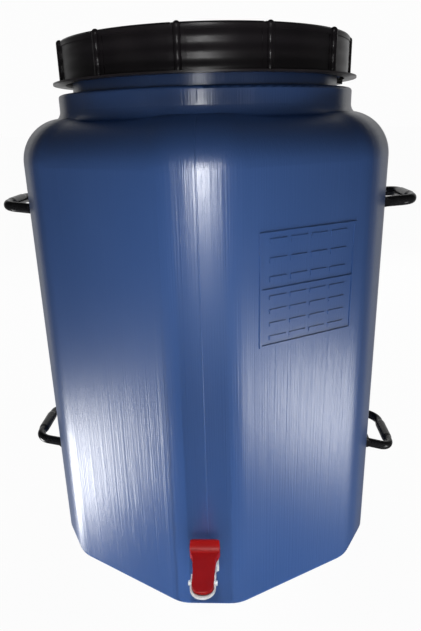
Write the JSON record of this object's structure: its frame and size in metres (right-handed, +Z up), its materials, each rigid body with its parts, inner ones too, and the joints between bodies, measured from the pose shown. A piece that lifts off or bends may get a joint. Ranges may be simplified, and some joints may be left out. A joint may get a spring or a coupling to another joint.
{
  "type": "plastic barrel with tap",
  "caption": "Blue hexagonal plastic barrel with a black ribbed screw lid, folding side handles and a red-levered white tap low on its front corner.",
  "frame": {"origin": "centre of the flat base, on the barrel's axis", "axes": "+Z up along the barrel's axis, -Y towards the tap, +X to the right of someone facing the tap"},
  "size_m": [0.4808, 0.4765, 0.5883],
  "materials": {
    "blue_body": "satin blow-moulded polyethylene",
    "black_lid": "satin moulded polypropylene",
    "natural_lid": "natural polyethylene",
    "black_handle": "glossy moulded polypropylene",
    "white_tap": "glossy moulded polypropylene",
    "red_lever": "glossy moulded polypropylene",
    "black_rubber": "matte rubber",
    "spring_steel": "drawn stainless wire"
  },
  "bodies": {
    "barrel": {"barrel_body": "blue_body", "tap_body": "white_tap", "tap_bonnet": "white_tap", "tap_bonnet_seal": "black_rubber", "tap_stem_seal": "black_rubber", "tap_outer_seal": "black_rubber", "tap_inner_seal": "black_rubber", "tap_nut": "white_tap", "tap_spring": "spring_steel", "tap_lever_pin": "white_tap"},
    "inner_lid": {"inner_lid": "natural_lid", "lid_gasket": "black_rubber"},
    "screw_lid": {"screw_lid": "black_lid"},
    "tap_stem": {"tap_stem": "white_tap", "tap_seat_seal": "black_rubber", "tap_link_pin": "white_tap"},
    "tap_lever": {"tap_lever": "red_lever"},
    "handle_lower_left": {"handle_lower_left": "black_handle"},
    "handle_lower_right": {"handle_lower_right": "black_handle"},
    "handle_upper_left": {"handle_upper_left": "black_handle"},
    "handle_upper_right": {"handle_upper_right": "black_handle"}
  },
  "joints": [
    {"name": "handle_lower_left_swing", "type": "hinge", "parent": "barrel", "child": "handle_lower_left", "pos_m": [-0.2, 0, 0.107], "axis": [0, 1, 0], "range_deg": [0, 73]},
    {"name": "handle_lower_right_swing", "type": "hinge", "parent": "barrel", "child": "handle_lower_right", "pos_m": [0.2, 0, 0.107], "axis": [0, -1, 0], "range_deg": [0, 99]},
    {"name": "handle_upper_left_swing", "type": "hinge", "parent": "barrel", "child": "handle_upper_left", "pos_m": [-0.2, 0, 0.417], "axis": [0, 1, 0], "range_deg": [0, 78]},
    {"name": "handle_upper_right_swing", "type": "hinge", "parent": "barrel", "child": "handle_upper_right", "pos_m": [0.2, 0, 0.417], "axis": [0, -1, 0], "range_deg": [0, 81]},
    {"name": "lid_rise", "type": "slide", "parent": "barrel", "child": "inner_lid", "axis": [0, 0, 1], "range_m": [0, 0.027]},
    {"name": "lid_turn", "type": "hinge", "parent": "inner_lid", "child": "screw_lid", "pos_m": [0, 0, 0.547], "axis": [0, 0, 1], "range_deg": [0, 540]},
    {"name": "tap_stem_rise", "type": "slide", "parent": "barrel", "child": "tap_stem", "axis": [0, 0, 1], "range_m": [0, 0.00538], "deforming": ["tap_spring"]},
    {"name": "tap_lever_turn", "type": "hinge", "parent": "barrel", "child": "tap_lever", "pos_m": [-0.003, -0.25467, 0.0827], "axis": [1, 0, 0], "range_deg": [0, 10]}
  ],
  "couplings": [
    {"joint": "lid_rise", "follows": "lid_turn", "m_per_rad": 0.0028648},
    {"joint": "tap_stem_rise", "follows": "tap_lever_turn", "m_per_rad": 0.0308}
  ]
}
